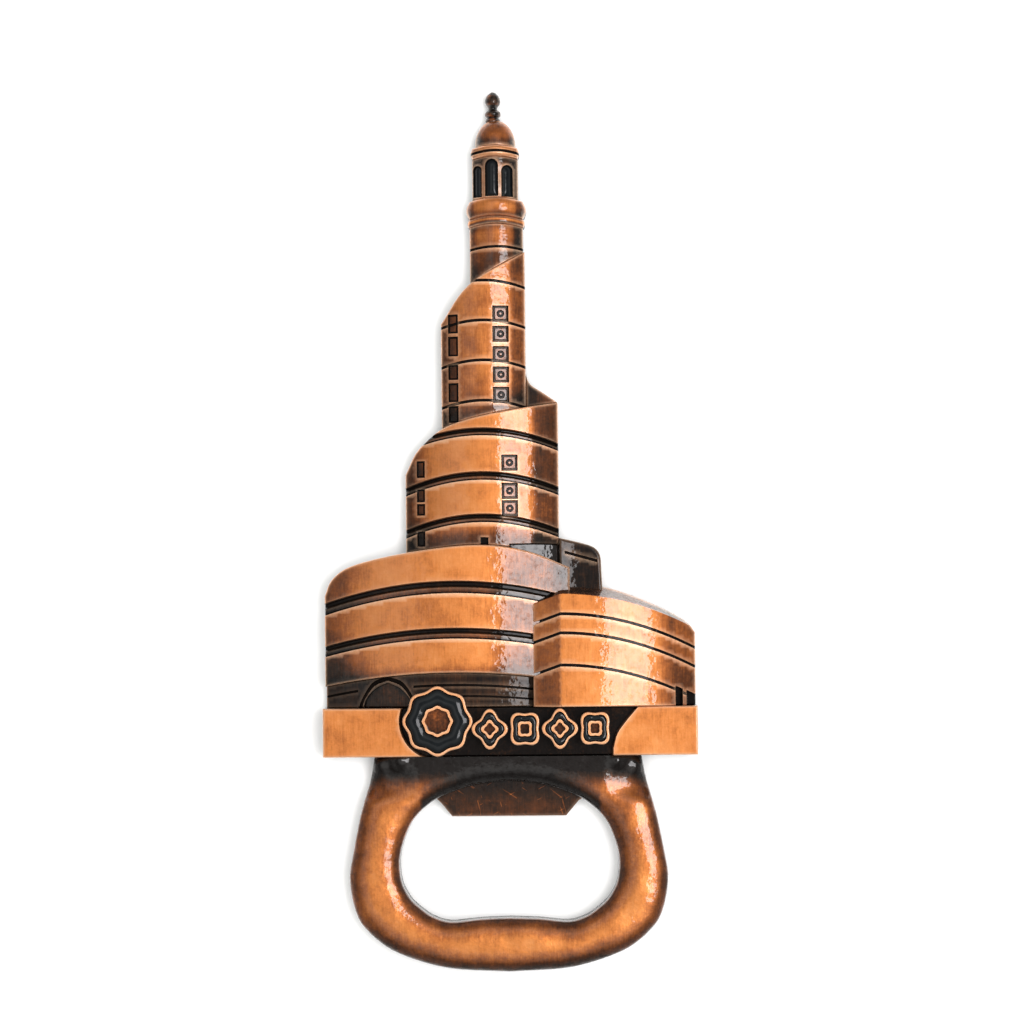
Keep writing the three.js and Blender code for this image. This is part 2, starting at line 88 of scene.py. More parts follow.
# ---------- flat outlines ----------
def resample(points, step, closed=True):
    """Points no further apart than step along straight stretches."""
    ends = list(zip(points, points[1:] + points[:1] if closed else points[1:]))
    out = []
    for (x0, y0), (x1, y1) in ends:
        n = max(1, math.ceil(math.hypot(x1 - x0, y1 - y0) / step))
        out += [(x0 + (x1 - x0) * i / n, y0 + (y1 - y0) * i / n) for i in range(n)]
    return out if closed else out + [points[-1]]


def smooth(points, per):
    """Catmull-Rom curve through the points, with per steps from each to the next."""
    p = [np.array(q, float) for q in points]
    p = [2 * p[0] - p[1]] + p + [2 * p[-1] - p[-2]]
    out = []
    for i in range(1, len(p) - 2):
        a, b, c, d = p[i - 1:i + 3]
        for k in range(per):
            t = k / per
            q = 0.5 * (2 * b + (c - a) * t + (2 * a - 5 * b + 4 * c - d) * t ** 2
                       + (3 * b - a - 3 * c + d) * t ** 3)
            out.append((float(q[0]), float(q[1])))
    return out + [tuple(map(float, p[-2]))]


def box(x0, x1, y0, y1):
    return [(x0, y0), (x1, y0), (x1, y1), (x0, y1)]


def circle(x, y, r, n=20):
    turns = [2 * math.pi * i / n for i in range(n)]
    return [(x + r * math.cos(a), y + r * math.sin(a)) for a in turns]


def course_line(mass, y, drop, x0, x1, n=40):
    """A level line of a drum, bowed up in the middle."""
    xs = [x0 + (x1 - x0) * i / n for i in range(n + 1)]
    return [(x, y - drop * mass.u(x) ** 2) for x in xs]


def strip(mass, top, bottom, drop, x0=None, x1=None):
    """The band between two level lines, run a little past the mass's sides."""
    x0 = mass.left - 0.4 if x0 is None else x0
    x1 = mass.right + 0.4 if x1 is None else x1
    return course_line(mass, top, drop, x0, x1) + course_line(mass, bottom, drop, x0, x1)[::-1]


def arched(x0, x1, bottom, top):
    """A window with a round head."""
    r, x = (x1 - x0) / 2, (x0 + x1) / 2
    arc = [(x + r * math.cos(math.pi * i / 12), top - r + r * math.sin(math.pi * i / 12)) for i in range(13)]
    return [(x0, bottom), (x1, bottom)] + arc


# ---------- distances ----------
def segments(loops, closed=True):
    a, b = [], []
    for loop in loops:
        q = np.array(loop, float)
        a.append(q if closed else q[:-1])
        b.append(np.roll(q, -1, 0) if closed else q[1:])
    return np.concatenate(a), np.concatenate(b)


def distance(p, loops, closed=True):
    """How far each point is from the nearest side of any loop."""
    a, b = segments(loops, closed)
    best = np.full(len(p), 1e9)
    for s, e in zip(a, b):
        d, w = e - s, p - s
        t = np.clip(w @ d / max(d @ d, 1e-12), 0, 1)
        q = w - t[:, None] * d
        np.minimum(best, (q * q).sum(1), out=best)
    return np.sqrt(best)


def inside(p, loops):
    """Whether each point is inside an odd number of the loops."""
    a, b = segments(loops)
    odd = np.zeros(len(p), bool)
    x, y = p[:, 0], p[:, 1]
    for s, e in zip(a, b):
        if s[1] == e[1]:
            continue
        crosses = (s[1] > y) != (e[1] > y)
        odd ^= crosses & (x < s[0] + (y - s[1]) / (e[1] - s[1]) * (e[0] - s[0]))
    return odd


def ramp(value, low, high):
    """A smooth step from 0 at low to 1 at high."""
    t = np.clip((value - low) / (high - low), 0, 1)
    return t * t * (3 - 2 * t)


def shifted(loop, amount):
    """The loop moved sideways by amount along its own normals (outwards for a counter-clockwise loop)."""
    q = np.array(loop, float)
    before, after = q - np.roll(q, 1, 0), np.roll(q, -1, 0) - q
    n = []
    for u, v in zip(before, after):
        u = u / max(np.hypot(*u), 1e-9)
        v = v / max(np.hypot(*v), 1e-9)
        m = np.array([u[1] + v[1], -u[0] - v[0]])
        size = np.hypot(*m)
        n.append(m / size * min(1 / max(size / 2, 0.5), 1.6) if size > 1e-6 else m * 0)
    area = np.sum(q[:, 0] * np.roll(q[:, 1], -1) - np.roll(q[:, 0], -1) * q[:, 1])
    return q + np.array(n) * amount * (1 if area > 0 else -1)


# ---------- meshes ----------
# SHARP is the angle that shades as an edge, and THINNEST what a carving leaves above the underside.
SHARP = math.radians(38)
THINNEST = 0.2


def make_object(name, verts, faces, marks, body, material, node):
    """A mesh with its marks and material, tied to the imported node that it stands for."""
    mesh = bpy.data.meshes.new(name)
    mesh.from_pydata([tuple(c * MM for c in v) for v in verts], [], faces)
    mesh.validate()
    for key, values in marks.items():
        layer = mesh.attributes.new(key, "FLOAT", "POINT")
        layer.data.foreach_set("value", np.array(values, np.float32))
    mesh.polygons.foreach_set("use_smooth", [True] * len(mesh.polygons))
    mesh.update()
    mesh.set_sharp_from_angle(angle=SHARP)
    obj = bpy.data.objects.new(name, mesh)
    bpy.context.scene.collection.objects.link(obj)
    mesh.materials.append(material)
    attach(obj, body)
    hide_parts(node)


def within(points, tris, loops, border):
    """The triangles inside the loops.

    A sliver just outside is told by its edge that no neighbour shares and that isn't on the border.
    """
    middle = points[tris].mean(1)
    tris = tris[inside(middle, loops) | (distance(middle, loops) < SLIVER)]
    while True:
        sides = [[frozenset((int(t[i]), int(t[(i + 1) % 3]))) for i in range(3)] for t in tris]
        shared = Counter(side for triangle in sides for side in triangle)
        keep = [all(shared[side] > 1 or side in border for side in triangle) for triangle in sides]
        if all(keep):
            return tris
        tris = tris[keep]


class Carve:
    """A recess in a relief: closed loops, a depth, the width of its walls and how dark its floor is."""

    def __init__(self, loops, depth, wall, dark, rim=1.0, floor=None):
        self.loops = [resample(loop, 0.3) for loop in loops]
        self.depth, self.wall, self.dark, self.rim, self.floor = depth, wall, dark, rim, floor


RIM_RINGS = (0.12, 0.4, 0.75, 1.1, 1.7)
RIM_WIDTH = 0.2
WALL_ROWS = (0.25, 0.6, 1.0)


def relief(node, outline, top, material, edge, step, holes=(), carves=(), lines=(), low=0.0,
           round_to=None, patina_and_shade=None, wall_dark=0.55, fall=None, rim_gain=1.0):
    """One closed piece: a carved top over an outline, rounded at its rim, with walls and a flat underside.

    top(x, y) gives the height before carving, the oxide-and-shade function the oxide with painted shade and
    painted highlight, and fall(points) what is taken off the top. The marks rim, deep and the oxide-and-shade
    mark tell the material where the edges show wear with a painted highlight, where it is sunk, and where it
    carries oxide with painted shade.
    """
    pitch = step * 0.7
    loops = [resample(list(loop), pitch) for loop in (outline, *holes)]
    rim_lines = round_to or [loop + loop[:1] for loop in loops]
    pts, edges = [], []

    def add_line(line, closed):
        first = len(pts)
        pts.extend((float(x), float(y)) for x, y in line)
        n = len(line)
        edges.extend((first + i, first + (i + 1) % n) for i in range(n if closed else n - 1))

    for loop in loops:
        add_line(loop, True)
    outline_edges = len(edges)
    for carve in carves:
        for loop in carve.loops:
            add_line(shifted(loop, carve.wall / 2), True)
            add_line(shifted(loop, -carve.wall / 2), True)
    for line in lines:
        add_line(resample(list(line), pitch, closed=False), False)
    fixed = np.array(pts)
    free = [shifted(loop, s * edge * k) for i, loop in enumerate(loops)
            for s in ([-1] if i == 0 else [1]) for k in RIM_RINGS]
    free += [shifted(loop, carve.wall / 2 + 0.13) for carve in carves for loop in carve.loops]
    lo, hi = fixed.min(0), fixed.max(0)
    xs, ys = np.arange(lo[0] + step / 2, hi[0], step), np.arange(lo[1] + step / 2, hi[1], step)
    grid = np.array([(x + (step / 2 if j % 2 else 0), y) for j, y in enumerate(ys) for x in xs])
    near = distance(grid, loops) if len(grid) else np.zeros(0)
    for carve in carves:
        near = np.minimum(near, distance(grid, carve.loops))
    grid = grid[near > max(edge * 1.1, 0.22) + step * 0.3] if len(grid) else grid
    loose = np.concatenate(free + ([grid] if len(grid) else []))
    loose = loose[inside(loose, loops) & (distance(loose, loops) > edge * 0.08)]
    coords = [Vector(p) for p in np.concatenate([fixed, loose])]
    found, links, tris, _, came_from, _ = geometry.delaunay_2d_cdt(coords, edges, [], 0, 1e-5)
    flat = np.array([tuple(v) for v in found])
    around = {frozenset(link) for link, origin in zip(links, came_from)
              if any(k < outline_edges for k in origin)}
    tris = within(flat, np.array(tris), loops, around)
    used = np.unique(tris)
    renumber = np.full(len(flat), -1)
    renumber[used] = np.arange(len(used))
    flat, tris = flat[used], renumber[tris]
    x, y = flat[:, 0], flat[:, 1]

    z = top(x, y)
    to_rim = distance(flat, rim_lines, closed=False)
    d = np.clip(edge - to_rim, 0, edge)
    z = z - (edge - np.sqrt(np.maximum(edge * edge - d * d, 0)))
    if fall is not None:
        z = z - fall(flat)
    rim = rim_gain * np.exp(-(to_rim / RIM_WIDTH) ** 2)
    drop, deep = np.zeros(len(flat)), np.zeros(len(flat))
    for carve in carves:
        s = distance(flat, carve.loops) * np.where(inside(flat, carve.loops), -1, 1)
        part = 1 - np.clip((s + carve.wall / 2) / carve.wall, 0, 1)
        if carve.floor is not None:
            z = z + (carve.floor(x, y) - z) * part
        drop = np.maximum(drop, carve.depth * part)
        deep = np.maximum(deep, carve.dark * ramp(part, 0.05, 0.7))
        # The lip along a carving shows wear; where it is the upper edge of a panel below the carving it is a
        # painted highlight at full strength, elsewhere at half.
        lit = np.where(inside(flat + (0, 0.3), carve.loops), 1.0, 0.5)
        lip = carve.rim * lit * np.exp(-((s - carve.wall / 2) / RIM_WIDTH) ** 2) * (part < 0.01)
        rim = np.maximum(rim * (1 - part), lip)
    z = z - drop
    mark = patina_and_shade(x, y) if patina_and_shade else np.zeros(len(flat))

    sides = dict.fromkeys((int(t[i]), int(t[(i + 1) % 3])) for t in tris for i in range(3))
    border = [(a, b) for a, b in sides if (b, a) not in sides]
    verts = [(float(a), float(b), float(max(c, low + THINNEST))) for a, b, c in zip(x, y, z)]
    faces = [tuple(int(i) for i in t) for t in tris]
    marks = {"rim": list(rim), "deep": list(deep), "patina_and_shade": list(mark)}
    below = {}
    # Walls darken toward their foot: oxide that the brushing never reaches, with painted shade toward the
    # foot.
    for a in sorted({i for e in border for i in e}):
        below[a] = [len(verts) + k for k in range(len(WALL_ROWS))]
        vx, vy, vz = verts[a]
        for r in WALL_ROWS:
            verts.append((vx, vy, vz + (low - vz) * r))
            marks["rim"].append(0.0)
            marks["deep"].append(max(deep[a], wall_dark + (1 - wall_dark) * r))
            marks["patina_and_shade"].append(float(mark[a]))
    for a, b in border:
        chain_a, chain_b = [a] + below[a], [b] + below[b]
        for k in range(len(WALL_ROWS)):
            faces.append((chain_b[k], chain_a[k], chain_a[k + 1], chain_b[k + 1]))
    feet = {a: i for i, a in enumerate(below)}
    keys = list(below)
    under, _, base, *_ = geometry.delaunay_2d_cdt(
        [Vector(verts[a][:2]) for a in keys], [(feet[a], feet[b]) for a, b in border], [], 0, 1e-7)
    under = np.array([tuple(v) for v in under])
    base = within(under, np.array(base), loops, {frozenset((feet[a], feet[b])) for a, b in border})
    for a, b, c in base:
        faces.append((below[keys[c]][-1], below[keys[b]][-1], below[keys[a]][-1]))
    make_object("vis_" + node, verts, faces, marks, "root", material, node)


def lathe(node, profile, x, z, material, around=28, dent=0.06):
    """A turned piece about a line along Y, with the small dents of a casting."""
    verts, faces, marks = [], [], {"rim": [], "deep": [], "patina_and_shade": []}
    for y, r in profile:
        for k in range(around):
            a = 2 * math.pi * k / around
            p = Vector((x + r * math.cos(a), y, z + r * math.sin(a)))
            push = 1 + dent * noise.noise(p * 1.6) / max(r, 0.3)
            verts.append((x + r * push * math.cos(a), y, z + r * push * math.sin(a)))
            marks["rim"].append(0.25 * max(0.0, noise.noise(p * 2.0)))
            marks["deep"].append(0.4 if r < 0.8 else 0.0)
            marks["patina_and_shade"].append(0.16 + 0.5 * noise.noise(p * 1.3))
    n = len(profile)
    for i in range(n - 1):
        for k in range(around):
            a, b = i * around + k, i * around + (k + 1) % around
            faces.append((a, a + around, b + around, b))
    faces.append(tuple(range(around)))
    faces.append(tuple((n - 1) * around + k for k in reversed(range(around))))
    make_object("vis_" + node, verts, faces, marks, "root", material, node)


# ---------- materials ----------
class Nodes:
    """Short hand for building a node tree."""

    def __init__(self, tree):
        self.tree = tree

    def new(self, kind, inputs=None, **props):
        node = self.tree.nodes.new(kind)
        for key, value in props.items():
            setattr(node, key, value)
        for key, value in (inputs or {}).items():
            if isinstance(value, bpy.types.NodeSocket):
                self.tree.links.new(value, node.inputs[key])
            else:
                node.inputs[key].default_value = value
        return node

    def math(self, operation, a, b=0.0, c=0.0, clamp=False):
        return self.new("ShaderNodeMath", {0: a, 1: b, 2: c}, operation=operation, use_clamp=clamp).outputs[0]

    def noise(self, vector, scale, detail, rough=0.55):
        return self.new("ShaderNodeTexNoise", {"Vector": vector, "Scale": scale, "Detail": detail,
                                               "Roughness": rough}).outputs["Fac"]

    def stretch(self, vector, scale, turn=0.0):
        return self.new("ShaderNodeMapping", {"Vector": vector, "Scale": scale,
                                              "Rotation": (0, 0, turn)}).outputs["Vector"]

    def ramp(self, value, stops):
        node = self.new("ShaderNodeValToRGB", {"Fac": value})
        items = node.color_ramp.elements
        while len(items) < len(stops):
            items.new(0.5)
        for item, (place, colour) in zip(items, stops):
            item.position = place
            item.color = (*colour, 1.0)
        return node.outputs["Color"]

    def mark(self, name):
        return self.new("ShaderNodeAttribute", attribute_name=name).outputs["Fac"]


COPPER_STOPS = [
    (0.00, (0.84, 0.335, 0.105)),
    (0.22, (0.735, 0.252, 0.060)),
    (0.42, (0.43, 0.128, 0.030)),
    (0.62, (0.150, 0.047, 0.016)),
    (0.82, (0.042, 0.020, 0.011)),
    (1.00, (0.012, 0.009, 0.008)),
]


# The pale copper for edge wear and for the painted highlight along the edges.
WORN_AND_HIGHLIGHT_COPPER = (1.0, 0.68, 0.46, 1)
TO_MM = (1000, 1000, 1000)


def antique(name, base, spread, gloss=0.50, scratch=0.0, edge_gain=1.0, coat=1.0, weave=1.0, haze=0.035,
            ripple=0.7):
    """Antique-copper plate: bright where brushed, brown to black where the oxide stayed, under lacquer, with
    painted shade and painted highlights laid in through the marks.

    base is the usual place on the colour ramp and spread how much it varies. weave is the brush's part in
    that, scratch the bare scratches, edge_gain the wear and the painted highlight along edges. coat, haze and
    ripple are the lacquer's.
    """
    material = bpy.data.materials.new(name)
    material.use_nodes = True
    n = Nodes(material.node_tree)
    shader = n.tree.nodes["Principled BSDF"]
    place = n.new("ShaderNodeTexCoord").outputs["Object"]
    place = n.stretch(place, TO_MM)
    upright = n.noise(n.stretch(place, (4.5, 0.35, 1.5)), 1.0, 3.0, 0.7)
    level = n.noise(n.stretch(place, (0.7, 5.0, 1.5)), 1.0, 3.0, 0.7)
    mottle = n.noise(place, 0.42, 5.0, 0.62)
    speck = n.noise(place, 2.6, 4.0, 0.7)
    cloud = n.noise(place, 0.13, 3.0, 0.5)
    rim, deep, stain_and_shade = n.mark("rim"), n.mark("deep"), n.mark("patina_and_shade")

    grain = n.math("ADD", n.math("MULTIPLY", upright, 0.8), n.math("MULTIPLY", level, 0.2))
    tone = n.math("MULTIPLY_ADD", n.math("SUBTRACT", grain, 0.5), spread * weave, base)
    tone = n.math("MULTIPLY_ADD", n.math("SUBTRACT", mottle, 0.5), spread * 0.9, tone)
    tone = n.math("MULTIPLY_ADD", n.math("SUBTRACT", cloud, 0.5), spread * 0.8, tone)
    tone = n.math("MULTIPLY_ADD", n.math("SUBTRACT", speck, 0.5), spread * 0.45, tone)
    # The oxide-and-shade mark darkens by oxide and painted shade; below zero it lightens, partly as a painted
    # highlight.
    tone = n.math("ADD", tone, stain_and_shade)
    ragged = n.math("MULTIPLY_ADD", n.math("SUBTRACT", speck, 0.5), 0.5, 1.0)
    tone = n.math("ADD", tone, n.math("MULTIPLY", deep, n.math("MULTIPLY", ragged, 0.85)))
    # Edges lift toward pale copper from wear and a painted highlight.
    patchy = n.math("MULTIPLY_ADD", n.math("SUBTRACT", speck, 0.5), 1.4, 0.8, clamp=True)
    worn_and_highlight = n.math("MULTIPLY", rim, patchy)
    tone = n.math("SUBTRACT", tone, n.math("MULTIPLY", worn_and_highlight, edge_gain * 0.4), clamp=True)
    if scratch:
        marks = 0.0
        for turn in (0.6, -0.5, 1.3):
            turned = n.stretch(place, (1.0, 1.0, 1.0), turn)
            line = n.noise(n.stretch(turned, (0.7, 6.0, 1.0)), 0.7, 0.0, 0.4)
            marks = n.math("ADD", marks, n.math("GREATER_THAN", line, 0.80))
        tone = n.math("SUBTRACT", tone, n.math("MULTIPLY", marks, scratch), clamp=True)
    colour = n.ramp(tone, COPPER_STOPS)
    pale = n.new("ShaderNodeMix", {"Factor": n.math("MULTIPLY", worn_and_highlight, 0.75 * edge_gain, clamp=True)},
                 data_type="RGBA")
    n.tree.links.new(colour, pale.inputs[6])
    pale.inputs[7].default_value = WORN_AND_HIGHLIGHT_COPPER
    n.tree.links.new(pale.outputs[2], shader.inputs["Base Color"])

    metal = n.math("MULTIPLY_ADD", tone, 0.10, 0.86, clamp=True)
    rough = n.math("MULTIPLY_ADD", tone, 0.10, gloss)
    rough = n.math("MULTIPLY_ADD", n.math("SUBTRACT", grain, 0.5), 0.25, rough, clamp=True)
    n.tree.links.new(metal, shader.inputs["Metallic"])
    n.tree.links.new(rough, shader.inputs["Roughness"])
    dry = n.math("MULTIPLY_ADD", deep, 2.5, -1.5, clamp=True)
    film = n.math("MULTIPLY_ADD", n.noise(place, 1.5, 4.0, 0.7), 2.4, -0.25, clamp=True)
    film = n.math("MULTIPLY", film, n.math("MULTIPLY_ADD", dry, -0.8, coat, clamp=True))
    n.tree.links.new(film, shader.inputs["Coat Weight"])
    shader.inputs["Coat Roughness"].default_value = haze
    shader.inputs["Coat IOR"].default_value = 1.55
    shader.inputs["Specular IOR Level"].default_value = 0.15
    height = n.math("MULTIPLY_ADD", grain, 0.5, n.math("MULTIPLY", speck, 0.5))
    fine = n.new("ShaderNodeBump", {"Height": height, "Strength": 0.16, "Distance": 0.00006})
    wavy = n.new("ShaderNodeBump", {"Height": mottle, "Strength": 0.55, "Distance": 0.00016,
                                    "Normal": fine.outputs["Normal"]})
    n.tree.links.new(wavy.outputs["Normal"], shader.inputs["Normal"])
    pool = n.noise(place, 0.8, 2.5, 0.5)
    lacquer = n.new("ShaderNodeBump", {"Height": pool, "Strength": ripple, "Distance": 0.00008})
    n.tree.links.new(lacquer.outputs["Normal"], shader.inputs["Coat Normal"])
    return material


def enamel(name):
    """Black enamel poured into a pocket: glossy, with faint dust and pull marks."""
    material = bpy.data.materials.new(name)
    material.use_nodes = True
    n = Nodes(material.node_tree)
    shader = n.tree.nodes["Principled BSDF"]
    place = n.stretch(n.new("ShaderNodeTexCoord").outputs["Object"], TO_MM)
    drift = n.noise(place, 0.7, 3.0)
    dust = n.noise(place, 9.0, 2.0)
    colour = n.ramp(drift, [(0.3, (0.002, 0.003, 0.004)), (0.7, (0.005, 0.007, 0.008))])
    n.tree.links.new(colour, shader.inputs["Base Color"])
    n.tree.links.new(n.math("MULTIPLY_ADD", dust, 0.12, 0.05), shader.inputs["Roughness"])
    shader.inputs["Specular IOR Level"].default_value = 0.2
    shader.inputs["Coat Weight"].default_value = 0.35
    shader.inputs["Coat Roughness"].default_value = 0.04
    bump = n.new("ShaderNodeBump", {"Height": drift, "Strength": 0.3, "Distance": 0.00010})
    n.tree.links.new(bump.outputs["Normal"], shader.inputs["Normal"])
    return material


copper = antique("antique_copper_brushed", base=0.20, spread=0.52, weave=0.6)
ring_copper = antique("antique_copper_ring", base=0.41, spread=0.55, gloss=0.36, weave=0.5, haze=0.09,
                      ripple=1.0)
brown = antique("dark_copper_cast", base=0.68, spread=0.5)
plate = antique("dark_copper_plate", base=0.68, spread=0.45, scratch=0.24, edge_gain=0.5, weave=0.5)
oxide = antique("oxide_copper_cast", base=0.90, spread=0.5, gloss=0.40, edge_gain=0.4, coat=0.5)
black = enamel("black_enamel_pool")


# ---------- opener ring and cap lifter ----------
RING_LIMB, RING_SWELL = 3.1, 1.35
RING_CREST = RING_TOP - 0.25
# Small lumps where the ring meets the band: x, y and size.
RING_LUMPS = [(-17.9, -31.6, 1.6), (17.4, -31.9, 1.8), (-15.0, -31.2, 1.3), (14.4, -31.3, 1.2)]


def mirrored(side):
    return [(-x, y) for x, y in reversed(side)]


def make_ring():
    w, h = RING_HALF, HOLE_HALF
    side = smooth([(0, -59.6), (w * 0.34, -59.2), (w * 0.55, -58.2), (w * 0.72, -56.8), (w * 0.82, -55.4),
                   (w * 0.89, -54.0), (w * 0.94, -52.6), (w * 0.98, -50.2), (w, -46.8), (w * 0.974, -43.2),
                   (w * 0.937, -39.2), (w * 0.9, -36.2), (w * 0.867, -33.7), (w * 0.84, BAND_LOW)], 5)
    hole_side = smooth([(0, -52.4), (h * 0.27, -52.55), (h * 0.54, -52.9), (h * 0.7, -52.2),
                        (h * 0.8, -51.2), (h * 0.89, -50.0), (h * 0.95, -48.6), (h * 0.985, -47.2),
                        (h, -45.0), (h * 0.98, -42.9), (h * 0.92, -40.4), (h * 0.86, -38.9),
                        (h * 0.76, -37.4), (h * 0.61, -36.0), (h * 0.3, -34.5), (0, -34.0)], 4)
    outer = [(x + RING_X, min(y, BAND_LOW - GAP)) for x, y in mirrored(side[1:]) + side]
    hole = [(x + HOLE_X, y) for x, y in hole_side + mirrored(hole_side[1:-1])]
    rims = [outer, hole + hole[:1]]

    def fall(p):
        edge = distance(p, rims, closed=False)
        q = np.clip(1 - edge / RING_LIMB, 0, 1)
        out = RING_SWELL * (1 - np.sqrt(np.maximum(1 - q ** 2.2, 0)))
        for cx, cy, size in RING_LUMPS:
            d2 = ((p[:, 0] - cx) ** 2 + (p[:, 1] - cy) ** 2) / size ** 2
            out -= 0.8 * np.exp(-d2 * 1.6)
        shoulder = np.clip(np.abs(p[:, 0]) - 12.8, 0, 5) * ramp(p[:, 1], -37.0, -34.5)
        return out + 0.22 * shoulder

    def top(x, y):
        wave = np.array([noise.noise(Vector((a * 0.3, b * 0.3, 7.0))) for a, b in zip(x, y)])
        dent = np.array([noise.noise(Vector((a * 1.1, b * 1.1, 2.0))) for a, b in zip(x, y)])
        return RING_CREST + wave * 0.08 + dent * 0.02

    def patina_and_shade(x, y):
        p = np.stack([x, y], 1)
        arc = distance(p, [[q for q in hole if q[1] > -38.5]], closed=False)
        to_outer = distance(p, rims[:1], closed=False)
        to_hole = distance(p, rims[1:], closed=False)
        # Darker under the band, from oxide in the recess with a painted shadow, and over the hole; painted
        # shade along both edges and low on the outer rim, where the round limb turns from the light; a
        # painted highlight down the crest of the lower limb, partly polish.
        under_band = 0.80 * (1 - ramp(BAND_LOW - y, 0.6, 5.0))
        over_hole = 0.5 * np.exp(-(arc / 1.6) ** 2) * (np.abs(x) < 12)
        edges = 0.24 * np.exp(-(to_outer / 0.9) ** 2) + 0.26 * np.exp(-(to_hole / 0.8) ** 2)
        rubbed_and_highlight = np.exp(-((np.minimum(to_outer, to_hole) - RING_LIMB) / 0.8) ** 2) * ramp(-y, 36, 42)
        lowest = 0.24 * np.exp(-(to_outer / 1.6) ** 2) * ramp(-y, 50, 58)
        return under_band + over_hole + edges - 0.20 * rubbed_and_highlight + lowest

    relief("opener_frame", outer, top, ring_copper, holes=[hole], edge=0.12, step=0.6,
           round_to=rims, patina_and_shade=patina_and_shade, wall_dark=0.5, fall=fall, rim_gain=0.0)


LIFTER_EDGE, LIFTER_ROOT, LIFTER_HALF = -38.8, -31.4, 10.6


def make_lifter():
    shape = [(-8.0, LIFTER_EDGE), (7.4, LIFTER_EDGE), (9.1, -36.8), (LIFTER_HALF, -35.9),
             (LIFTER_HALF, LIFTER_ROOT), (-LIFTER_HALF, LIFTER_ROOT), (-LIFTER_HALF, -35.9), (-9.4, -37.1)]

    def top(x, y):
        return LIFTER_TOP - 0.02 * np.abs(x)

    def patina_and_shade(x, y):
        return 0.08 + 0.16 * ramp(y, -37.0, -34.5)

    relief("cap_lifter", shape, top, plate, edge=0.3, step=0.45, patina_and_shade=patina_and_shade, wall_dark=0.4)


# ---------- band and ornament row ----------
MEDALLION_X, MEDALLION_Y, MEDALLION_R = -9.7, -25.8, 4.5
SMALL_Y, SMALL_RX, SMALL_RY = -26.9, 2.1, 2.35
SMALL_PITCH, SMALL_START = 4.7, -2.7
ENAMEL_RIM = 0.4
POCKET = 1.0


def make_band():
    reach = MEDALLION_R + 0.6
    below = BAND_LOW - 0.6
    start = math.acos((BAND_HIGH + 0.6 - MEDALLION_Y) / reach) + math.pi / 2
    arc = [(MEDALLION_X + reach * math.cos(a), MEDALLION_Y + reach * math.sin(a))
           for a in np.linspace(start, 1.5 * math.pi, 24)]
    right = [(13.7, below), (13.72, -29.6), (14.3, -27.6), (15.6, -25.8), (17.6, BAND_HIGH + 0.6)]
    recess = arc + [(MEDALLION_X, below)] + [right[0]] + smooth(right[1:], 5)

    def top(x, y):
        return np.full(len(x), BAND_TOP)

    def patina_and_shade(x, y):
        return 0.10 * ramp(np.abs(x + 0.5), 21, 25.2) * ramp(-y, 24, 31)

    shape = box(-BAND_HALF, BAND_HALF, BAND_LOW, BAND_HIGH)
    relief("base_band", shape, top, copper, edge=0.2, step=0.6, patina_and_shade=patina_and_shade,
           carves=[Carve([recess], BAND_TOP - RECESS_FLOOR, 0.3, 0.92)], wall_dark=0.3)


def lobed(x, y, rx, ry, lobes, swell, turn, inset=0.0, n=72):
    points = []
    for i in range(n):
        a = 2 * math.pi * i / n
        s = 1 + swell * math.cos(lobes * (a - turn))
        points.append((x + (rx - inset) * s * math.cos(a), y + (ry - inset) * s * math.sin(a)))
    return points


def make_ornaments():
    cells = [(MEDALLION_X, MEDALLION_Y, MEDALLION_R, MEDALLION_R, 8, 0.05, 0.0, 0.36)]
    for i in range(4):
        swell, turn = ((0.16, 0.0), (0.12, math.pi / 4))[i % 2]
        cells.append((SMALL_START + SMALL_PITCH * i, SMALL_Y, SMALL_RX, SMALL_RY, 4, swell, turn, 0.3))
    for i, (x, y, rx, ry, lobes, swell, turn, hole) in enumerate(cells, 1):
        outer = lobed(x, y, rx, ry, lobes, swell, turn)
        pocket = lobed(x, y, rx, ry, lobes, swell, turn, ENAMEL_RIM)
        island = lobed(x, y, rx * hole + ENAMEL_RIM, ry * hole + ENAMEL_RIM, lobes, swell, turn, n=40)
        well = lobed(x, y, rx * hole, ry * hole, lobes, swell, turn, n=32)

        def top(px, py):
            return np.full(len(px), ORNAMENT_TOP)

        def bright(px, py):
            return np.full(len(px), -0.12)

        relief(f"ornament_cell_{i}", outer, top, copper, low=RECESS_FLOOR + GAP, edge=0.14,
               step=0.45, patina_and_shade=bright, wall_dark=0.65,
               carves=[Carve([pocket, island], POCKET, 0.06, 0.9), Carve([well], POCKET + 0.1, 0.06, 0.75)])
        inset = ENAMEL_RIM + GAP
        pool_outer = lobed(x, y, rx, ry, lobes, swell, turn, inset)
        pool_inner = lobed(x, y, rx * hole + inset, ry * hole + inset, lobes, swell, turn, n=40)

        def pool(px, py, a=pool_outer, b=pool_inner):
            d = distance(np.stack([px, py], 1), [a, b])
            return ORNAMENT_TOP - 0.32 + 0.30 * (1 - np.exp(-d / 0.45))

        relief(f"ornament_enamel_{i}", pool_outer, pool, black, holes=[pool_inner],
               low=ORNAMENT_TOP - POCKET + GAP, edge=0.08, step=0.3)


# ---------- annex wing ----------
WING_LEFT, WING_CORNER, WING_RIGHT, WING_TOP = 3.2, 6.9, 25.0, -8.9
WING_BOTTOM = BAND_HIGH + GAP
WING_SAG, FACET_SLOPE, ROOF_SLOPE = 0.0145, 0.36, 4.0
WING_HEIGHT = {"left": 5.6, "corner": 6.8, "right": 3.2}
WING_GROOVES = (-11.55, -14.1, -18.4)


def wing_y(x, level):
    run = np.asarray(x, float) - WING_CORNER
    return np.where(run < 0, level + FACET_SLOPE * run, level - WING_SAG * run * run)


def wing_line(level, x0=WING_LEFT - 0.4, x1=WING_RIGHT + 0.4):
    xs = [x0, WING_CORNER] + [WING_CORNER + (x1 - WING_CORNER) * i / 30 for i in range(1, 31)]
    return [(float(x), float(wing_y(x, level))) for x in xs]


